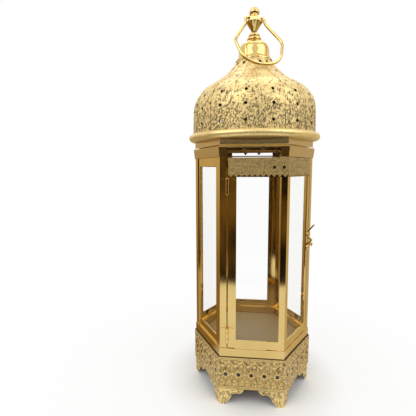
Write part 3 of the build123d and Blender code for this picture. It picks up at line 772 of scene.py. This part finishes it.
class DomePanel:
    """One gore between two ribs: where its holes are and how the ornament lies on it."""

    def __init__(self, settings):
        self.settings = settings
        self.profile = DomeProfile(settings)
        self.half_angle = math.pi / settings.gore_count
        turns = range(1, 2 * settings.gore_count, 2)
        self.azimuths = [settings.turn + self.half_angle * turn for turn in turns]
        self.holes = self.ups_at(settings.hole_shares)
        self.bead_lines = self.ups_at(settings.bead_shares)

    def ups_at(self, height_shares):
        """Distances along the sheet at shares of the dome's height."""
        height = DOME_HIGH.z - DOME_LOW.z
        return [self.profile.up_at(DOME_LOW.z + share * height) for share in height_shares]

    def half(self, up):
        """Half width of the gore at a distance along the sheet."""
        return self.profile.at(up)[0].x * self.half_angle

    def place(self, across, up, lift):
        """Point on the gore at azimuth zero."""
        point, normal = self.profile.at(up)
        reach = point.x + lift * normal.x
        turn = across / point.x
        return (reach * math.cos(turn), reach * math.sin(turn), point.y + lift * normal.y)

    def is_inside(self, face):
        """Whether a face of the dome looks inwards or lines a hole. The sides of a rib don't count."""
        radius = math.hypot(face.center.x, face.center.y)
        outward = self.profile.at(self.profile.up_at(face.center.z))[1]
        radial = (face.normal.x * face.center.x + face.normal.y * face.center.y) / radius
        facing = radial * outward.x + face.normal.z * outward.y
        azimuth = math.atan2(face.center.y, face.center.x)
        off_rib = (azimuth - self.settings.turn + self.half_angle) % (2 * self.half_angle) - self.half_angle
        on_rib = abs(off_rib) * radius < 0.6 * self.settings.rib_width
        return facing < (-INSIDE_LIMIT if on_rib else INSIDE_LIMIT)

    def ornament(self, relief):
        """Carpet of small scrolls and leaves, thinner higher up, rings round the holes, beaded lines."""
        row_step = self.settings.row_step
        room_under_beads, room_beside_rib = 4.0 * MM, 2.2 * MM
        ring_radius = 1.45 * self.settings.hole_radius
        bead_rise, bead_radius = 1.9 * MM, 0.8 * relief.bead
        ornament = Ornament()
        for row in range(int((self.bead_lines[0] - room_under_beads) / row_step)):
            up = (row + 0.9) * row_step
            sparse = up > self.holes[2] - 0.5 * row_step
            room = self.half(up) - 0.5 * self.settings.rib_width - room_beside_rib
            columns = max(1, round(room / self.settings.column_step))
            for column in range(columns):
                if sparse and (row + column) % 2:
                    continue
                across = room * (column + 0.55 + 0.3 * (row % 2)) / columns
                self.sprig(ornament, relief, (across, up), row, column)
        ornament.mirror()
        for up in self.holes[:3]:
            ornament.ring((0.0, up), ring_radius, relief.fine_line, count=10)
        for up in self.bead_lines:
            half = self.half(up)
            ornament.straight((-half, up), (half, up), relief.fine_line, count=5)
            for k in range(-2, 3):
                ornament.bead((0.4 * k * half, up + bead_rise), bead_radius)
        return ornament

    def sprig(self, ornament, relief, centre, row, column):
        """One scroll with its leaf, unless a hole is in its way."""
        radius = self.settings.scroll_radius
        clear = 1.8 * self.settings.hole_radius + radius
        if any(math.hypot(centre[0], centre[1] - up) < clear for up in self.holes):
            return
        start = 1.9 * row + 2.6 * column
        way = 1 if (row + column) % 2 else -1
        ornament.scroll(centre, radius, start, 1.15 * way, relief.line, count=8)
        root = (centre[0], centre[1] + 0.9 * radius)
        tip = (centre[0] + 0.9 * radius * math.cos(start), centre[1] + 2.3 * radius)
        ornament.leaf(root, tip, relief.leaf, 0.15 * way, count=4)

    def shade_dashes(self, relief):
        """Painted shade: short dark dashes beside the ribs and under the bead lines."""
        step, dash, width = 7.4 * MM, 2.6 * MM, 0.6 * relief.fine_line
        rib_gap, bead_gap = 0.25 * MM, 0.9 * MM
        ornament = Ornament()
        for k in range(int(0.7 * self.profile.length / step)):
            ends = [k * step + step, k * step + step + dash]
            points = [(self.half(up) - 0.5 * self.settings.rib_width - rib_gap, up) for up in ends]
            ornament.line(points, [width] * 2)
        for up in self.bead_lines:
            for share in (0.05, 0.55):
                ends = [share * self.half(up), (share + 0.3) * self.half(up)]
                ornament.line([(across, up - bead_gap) for across in ends], [width] * 2)
        ornament.mirror()
        return ornament


class LANTERN_OT_dome(bpy.types.Operator):
    """Dress the pierced dome and emboss each of its gores"""

    bl_idname = "lantern.dome"
    bl_label = "Dome"

    def execute(self, context):
        relief = context.scene.lantern_relief
        panel = DomePanel(context.scene.lantern_dome)
        # Painted shade on the inside of the dome and in its holes
        paint_shade_on(dress("dome", dome_sheet), panel.is_inside)
        for name, ornament, maker in (
            ("dome_ornament", panel.ornament(relief), dome_sheet),
            # Painted shade: dark dashes beside the ribs and under the bead lines
            ("dome_shade_dashes", panel.shade_dashes(relief), painted_shade_finish),
        ):
            emboss(name, ornament, panel.place, panel.azimuths, maker, "dome")
        return {"FINISHED"}


class LANTERN_OT_base(bpy.types.Operator):
    """Dress the pierced base skirt and emboss its six sides"""

    bl_idname = "lantern.base"
    bl_label = "Base skirt"

    def execute(self, context):
        relief = context.scene.lantern_relief
        # Painted shade on the inside of the skirt and in its holes
        paint_shade_on(dress("base_skirt", skirt_sheet, relief.edge), looks_inside)
        ornament = self.side_ornament(relief, context.scene.lantern_base)
        place = face_place(SKIRT_APOTHEM, SKIRT_LOW.z)
        emboss("base_ornament", ornament, place, FACE_AZIMUTHS, champagne_gold, "base_skirt")
        return {"FINISHED"}

    def side_ornament(self, relief, settings):
        """Wave of scrolls and flowers over a row of ringed holes, between border lines."""
        height = SKIRT_HIGH.z - SKIRT_LOW.z
        half = SKIRT_HALF_SIDE
        pitch, holes_up = settings.hole_pitch, settings.hole_level
        wave_up, swing = 0.78 * height, 0.06 * height
        reach = settings.hole_count // 2
        border_insets = (1.0 * MM, 2.6 * MM)
        ornament = Ornament()
        for up in (*border_insets, *(height - inset for inset in border_insets)):
            ornament.straight((-half, up), (half, up), relief.fine_line, count=8)
        self.wave(ornament, relief, pitch, wave_up, swing)
        for k in range(-reach, reach + 1):
            self.ringed_hole(ornament, relief, pitch * k, holes_up, wave_up)
        for k in range(-reach - 1, reach + 1):
            self.spray(ornament, relief, pitch * (k + 0.5), holes_up, wave_up)
        ornament.trim(half)
        return ornament

    def wave(self, ornament, relief, pitch, wave_up, swing):
        """Line that swings up and down once from hole to hole."""
        steps = 60
        points = []
        for k in range(steps + 1):
            across = SKIRT_HALF_SIDE * (2 * k / steps - 1)
            points.append((across, wave_up + swing * math.sin(2 * math.pi * across / pitch)))
        ornament.line(points, [relief.line] * len(points))

    def ringed_hole(self, ornament, relief, across, holes_up, wave_up):
        """Ring and rays round a hole, with a small flower at the wave over it."""
        ring_radius, rays = 3.1 * MM, (3.7 * MM, 5.6 * MM)
        flower_rise, flower = 1.6 * MM, (0.5 * MM, 2.0 * MM)
        ornament.ring((across, holes_up), ring_radius, relief.line)
        ornament.rosette((across, holes_up), *rays, 0.8 * relief.leaf, petals=9)
        ornament.rosette((across, wave_up + flower_rise), *flower, 0.7 * relief.leaf, petals=5)

    def spray(self, ornament, relief, across, holes_up, wave_up):
        """Flower between two holes, with scrolls and a leaf to each side and leaves over and under it."""
        flower_rise, flower = 0.6 * MM, (0.4 * MM, 2.2 * MM)
        # Distance to the side, level, radius, start as a share of half a turn, and turns of each scroll
        scrolls = (
            (3.5 * MM, wave_up - 2.0 * MM, 1.9 * MM, 0.5, -1.3),
            (3.3 * MM, wave_up + 3.4 * MM, 1.5 * MM, -0.5, 1.3),
            (2.6 * MM, 9.6 * MM, 1.9 * MM, -0.3, 1.3),
            (2.2 * MM, 5.4 * MM, 1.5 * MM, 0.6, -1.2),
        )
        side_leaf = ((5.4 * MM, 4.2 * MM), (6.4 * MM, 8.6 * MM))
        upright_leaves = ((holes_up + 3.2 * MM, wave_up - 0.6 * MM), (11.6 * MM, holes_up - 2.4 * MM))
        ornament.rosette((across, holes_up + flower_rise), *flower, 0.8 * relief.leaf, petals=6)
        for way in (-1, 1):
            for aside, up, radius, start_share, turns in scrolls:
                centre = (across + way * aside, up)
                ornament.scroll(centre, radius, start_share * math.pi, way * turns, relief.line, count=10)
            root, tip = ((across + way * aside, up) for aside, up in side_leaf)
            ornament.leaf(root, tip, relief.leaf, 0.2 * way)
        for root_up, tip_up in upright_leaves:
            ornament.leaf((across, root_up), (across, tip_up), relief.leaf)


class LANTERN_OT_feet(bpy.types.Operator):
    """Dress the six bracket feet and emboss both wings of each"""

    bl_idname = "lantern.feet"
    bl_label = "Bracket feet"

    def execute(self, context):
        relief = context.scene.lantern_relief
        for number in range(1, SIDE_COUNT + 1):
            # Painted shade on the inside of each foot
            paint_shade_on(dress(f"foot_{number}", foot_sheet, relief.edge), looks_inside)
        ornament = self.wing_ornament(relief, context.scene.lantern_base)
        ornament.mirror()
        place = face_place(FOOT_APOTHEM, FOOT_LOW.z)
        emboss("feet_ornament", ornament, place, FACE_AZIMUTHS, skirt_sheet, "foot_1")
        return {"FINISHED"}

    def wing_ornament(self, relief, settings):
        """Ogee edge line, scrolls and leaves on the wing at the right end of a side."""
        rise = SKIRT_LOW.z - FOOT_LOW.z
        inset = settings.wing_inset
        line, leaf = relief.line, relief.leaf
        edge_shares = (
            (0.25, 0.03), (0.36, 0.19), (0.48, 0.44), (0.57, 0.64), (0.72, 0.70), (0.89, 0.72), (1.0, 0.93),
        )
        ornament = Ornament()

        def spot(along_share, up_share):
            return (FOOT_HALF_SIDE - along_share * settings.wing_length, up_share * rise)

        edge = [(across + inset, up + inset) for across, up in (spot(*shares) for shares in edge_shares)]
        ornament.line(edge, [line] * len(edge))
        ornament.leaf(spot(0.10, 0.06), spot(0.14, 0.42), leaf, 0.1)
        ornament.leaf(spot(0.25, 0.16), spot(0.30, 0.46), 0.8 * leaf, -0.1)
        ornament.scroll(spot(0.17, 0.68), 2.6 * MM, -0.5 * math.pi, 1.5, line, count=12)
        ornament.scroll(spot(0.38, 0.74), 2.2 * MM, 0.5 * math.pi, -1.5, line, count=12)
        ornament.leaf(spot(0.48, 0.86), spot(0.66, 0.86), 0.8 * leaf, -0.1)
        ornament.scroll(spot(0.80, 0.86), 1.3 * MM, 0.0, 1.3, 0.8 * line, count=10)
        ornament.straight(spot(0.01, 0.98), spot(0.99, 0.98), relief.fine_line, count=6)
        return ornament


class LANTERN_OT_frieze(bpy.types.Operator):
    """Dress the pierced strip over the door and emboss its two sides"""

    bl_idname = "lantern.frieze"
    bl_label = "Door frieze"

    def execute(self, context):
        relief = context.scene.lantern_relief
        settings = context.scene.lantern_frieze
        dress("door_frieze", frieze_sheet, 0.5 * relief.edge)
        place = face_place(-FRIEZE_LOW.y, FRIEZE_LOW.z)
        holes = (settings.near_hole, settings.far_hole)
        # Painted shade in the two holes of the front side
        self.shade_holes(settings, holes)
        sides = zip(DOOR_AZIMUTHS, (settings.shift, -settings.shift), (holes, ()))
        for number, (azimuth, middle, side_holes) in enumerate(sides, start=1):
            ornament = self.side_ornament(relief, settings, middle, side_holes)
            emboss(f"frieze_ornament_{number}", ornament, place, [azimuth], frieze_sheet, "door_frieze")
        return {"FINISHED"}

    def shade_holes(self, settings, holes):
        """Painted shade: dark discs that sit in the holes, in the rail behind the strip, so that the holes
        look dark.
        """
        shade_discs = Ornament()
        for across in holes:
            shade_discs.bead((across, settings.hole_level), settings.shade_disc_radius)
        behind = face_place(-FRIEZE_LOW.y - settings.shade_disc_depth, FRIEZE_LOW.z)
        emboss("frieze_hole_shade", shade_discs, behind, DOOR_AZIMUTHS[:1], painted_shade_finish, "door_frieze")

    def side_ornament(self, relief, settings, middle, holes):
        """Rows of small scrolls between border lines, beads over the teeth, and a ring round each hole."""
        height = FRIEZE_HIGH.z - FRIEZE_LOW.z
        half = settings.half_length
        holes_up = settings.hole_level
        rows, columns = 4, 16
        border_levels = (3.9 * MM, height - 0.9 * MM)
        first_row, last_row = 6.0 * MM, height - 2.8 * MM
        bead_level, bead_radius = 3.2 * MM, 0.6 * relief.bead
        scroll_radius, ring_radius, hole_room = 1.5 * MM, 2.5 * MM, 3.8 * MM
        line, fine = 0.6 * relief.line, 0.7 * relief.fine_line
        ornament = Ornament()

        def column_place(column):
            return middle + half * (2 * column / columns - 1)

        for up in border_levels:
            ornament.straight((middle - half, up), (middle + half, up), fine, count=6)
        for row in range(rows):
            up = first_row + row * (last_row - first_row) / (rows - 1)
            for column in range(columns):
                across = column_place(column + 0.3 + 0.4 * (row % 2))
                if all(math.hypot(across - hole, up - holes_up) > hole_room for hole in holes):
                    start = 1.3 * row + 2.2 * column
                    turns = 1.2 if (row + column) % 2 else -1.2
                    ornament.scroll((across, up), scroll_radius, start, turns, line, count=8)
        for column in range(columns):
            ornament.bead((column_place(column + 0.5), bead_level), bead_radius)
        for hole in holes:
            ornament.ring((hole, holes_up), ring_radius, line)
        return ornament


class LANTERN_OT_crown(bpy.types.Operator):
    """Dress the rim, neck band, cupola, collar, finial and bail"""

    bl_idname = "lantern.crown"
    bl_label = "Rim, cupola, finial and bail"

    def execute(self, context):
        relief = context.scene.lantern_relief
        for node in CROWN_NODES:
            dress(node, mirror_gold)
        dress("rim_plate", champagne_gold)
        dress("neck_band", brushed_gold, relief.edge)
        return {"FINISHED"}


class LANTERN_OT_body(bpy.types.Operator):
    """Dress the sill strip, posts, window frames, door, hinges, latch and floor"""

    bl_idname = "lantern.body"
    bl_label = "Glazed body"

    def execute(self, context):
        relief = context.scene.lantern_relief
        dress("floor_plate", candle_floor_paint, relief.edge)
        for node in nodes_starting(POLISHED_STARTS):
            dress(node, mirror_gold, relief.edge)
        return {"FINISHED"}


class LANTERN_OT_glass(bpy.types.Operator):
    """Give the panes their glass"""

    bl_idname = "lantern.glass"
    bl_label = "Panes"

    def execute(self, context):
        for node in nodes_starting(GLASS_STARTS):
            paint(frame["nodes"][node], window_glass)
        return {"FINISHED"}


class LANTERN_OT_stage(bpy.types.Operator):
    """Set the floor, the lamps, the room and the camera"""

    bl_idname = "lantern.stage"
    bl_label = "Stage"

    def execute(self, context):
        settings = context.scene.lantern_stage
        context.scene.view_settings.view_transform = "Standard"
        self.lay_floor(settings)
        self.light_room(context, settings)
        self.hang_lamps(context)
        self.stand_camera(context, settings)
        return {"FINISHED"}

    def lay_floor(self, settings):
        """Floor under the lantern, which runs farthest to the front."""
        bpy.ops.object.select_all(action="DESELECT")
        bpy.ops.mesh.primitive_plane_add(size=2.0)
        floor = bpy.context.view_layer.objects.active
        floor.name = "studio_floor"
        for vertex in floor.data.vertices:
            vertex.co.x *= settings.floor_reach
            vertex.co.y = settings.floor_reach if vertex.co.y > 0 else -settings.floor_front
        paint(floor, studio_floor)

    def light_room(self, context, settings):
        """White for the eye and the glass, a room for the metal to mirror, even light for the rest."""
        world = bpy.data.worlds.new("studio_room")
        context.scene.world = world
        world.use_nodes = True
        tree = world.node_tree
        tree.nodes.clear()
        ambient, mirrored, white = (
            add_node(tree, "ShaderNodeBackground", {}, {"Color": colour, "Strength": strength})
            for colour, strength in (
                (rgba(settings.ambient), 0.6),
                (self.mirrored_room(tree, settings), 1.0),
                (WHITE, 1.0),
            )
        )
        unseen = mix_shader(tree, ray_is(tree, "Glossy"), ambient, mirrored)
        seen = ray_is(tree, "Camera").larger(ray_is(tree, "Transmission"))
        add_node(tree, "ShaderNodeOutputWorld", {}, {"Surface": mix_shader(tree, seen, unseen, white)})

    def mirrored_room(self, tree, settings):
        """Colour of the mirrored room: warm walls, a pale ceiling, and dim shapes low in front."""
        way = add_node(tree, "ShaderNodeTexCoord", {}, {}, "Generated")
        across, along, up = (coordinate(tree, way, axis) for axis in "XYZ")
        height = up * 0.5 + 0.5
        front = ramp(tree, 0.0 - along, ((0.1, 0.0), (0.6, 1.0)))
        low = ramp(tree, height, ((0.56, 1.0), (0.60, 0.0)))
        right = ramp(tree, across * 0.5 + 0.5, ((0.15, 0.0), (0.85, 1.0)))
        upper = ramp(tree, height, ((0.36, 0.0), (0.50, 1.0)))
        overhead = ramp(tree, height, ((0.54, 0.0), (0.61, 1.0)))
        left_wall = mix_colour(tree, upper, rgba(settings.left_wall_low), rgba(settings.left_wall_high))
        walls = mix_colour(tree, right, left_wall, rgba(settings.right_wall))
        room = mix_colour(tree, overhead, walls, rgba(settings.ceiling))
        cloud = {"Vector": way, "Scale": 5.0, "Detail": 2.0}
        shapes = add_node(tree, "ShaderNodeTexNoise", {}, cloud, "Fac")
        lit = ramp(tree, shapes, ((0.46, 0.0), (0.62, 1.0)))
        shade = mix_colour(tree, lit, rgba(settings.shade_dark), rgba(settings.shade_lit))
        return mix_colour(tree, front * low, room, shade)

    def hang_lamps(self, context):
        """Two soft boxes over the front and one over the back."""
        aim = (CAD_BOX[0] + CAD_BOX[1]) / 2
        for name, place, size, power in SOFT_BOXES:
            lamp = bpy.data.lights.new(name, "AREA")
            lamp.shape = "SQUARE"
            lamp.size = size
            lamp.energy = power
            holder = bpy.data.objects.new(name, lamp)
            holder.location = place
            holder.rotation_euler = (aim - Vector(place)).to_track_quat("-Z", "Y").to_euler()
            context.scene.collection.objects.link(holder)

    def stand_camera(self, context, settings):
        """Camera at the photograph's place and angle."""
        view = bpy.data.cameras.new("camera")
        view.lens = settings.lens
        view.clip_start = 10 * MM
        holder = bpy.data.objects.new("camera", view)
        holder.location = settings.camera_place
        level = Euler((math.pi / 2 + settings.camera_pitch, 0.0, settings.camera_yaw)).to_matrix()
        holder.rotation_euler = (level @ Matrix.Rotation(settings.camera_roll, 3, "Z")).to_euler()
        context.scene.collection.objects.link(holder)
        context.scene.camera = holder


class LANTERN_PT_panel(bpy.types.Panel):
    """Lists the lantern's operators"""

    bl_label = "Lantern"
    bl_idname = "LANTERN_PT_panel"
    bl_space_type = "VIEW_3D"
    bl_region_type = "UI"
    bl_category = "Lantern"

    def draw(self, context):
        for operator in OPERATORS:
            self.layout.operator(operator.bl_idname)


OPERATORS = (
    LANTERN_OT_dome,
    LANTERN_OT_base,
    LANTERN_OT_feet,
    LANTERN_OT_frieze,
    LANTERN_OT_crown,
    LANTERN_OT_body,
    LANTERN_OT_glass,
    LANTERN_OT_stage,
)
SETTINGS = {
    "lantern_dome": DomeSettings,
    "lantern_base": BaseSettings,
    "lantern_frieze": FriezeSettings,
    "lantern_relief": ReliefSettings,
    "lantern_finish": FinishSettings,
    "lantern_stage": StageSettings,
}


def register():
    for settings in SETTINGS.values():
        bpy.utils.register_class(settings)
    for name, settings in SETTINGS.items():
        setattr(bpy.types.Scene, name, PointerProperty(type=settings))
    for operator in OPERATORS:
        bpy.utils.register_class(operator)
    bpy.utils.register_class(LANTERN_PT_panel)


def unregister():
    bpy.utils.unregister_class(LANTERN_PT_panel)
    for operator in reversed(OPERATORS):
        bpy.utils.unregister_class(operator)
    for name in SETTINGS:
        delattr(bpy.types.Scene, name)
    for settings in reversed(list(SETTINGS.values())):
        bpy.utils.unregister_class(settings)


def main():
    register()
    bpy.ops.lantern.dome()
    bpy.ops.lantern.base()
    bpy.ops.lantern.feet()
    bpy.ops.lantern.frieze()
    bpy.ops.lantern.crown()
    bpy.ops.lantern.body()
    bpy.ops.lantern.glass()
    bpy.ops.lantern.stage()


if __name__ == "__main__":
    main()
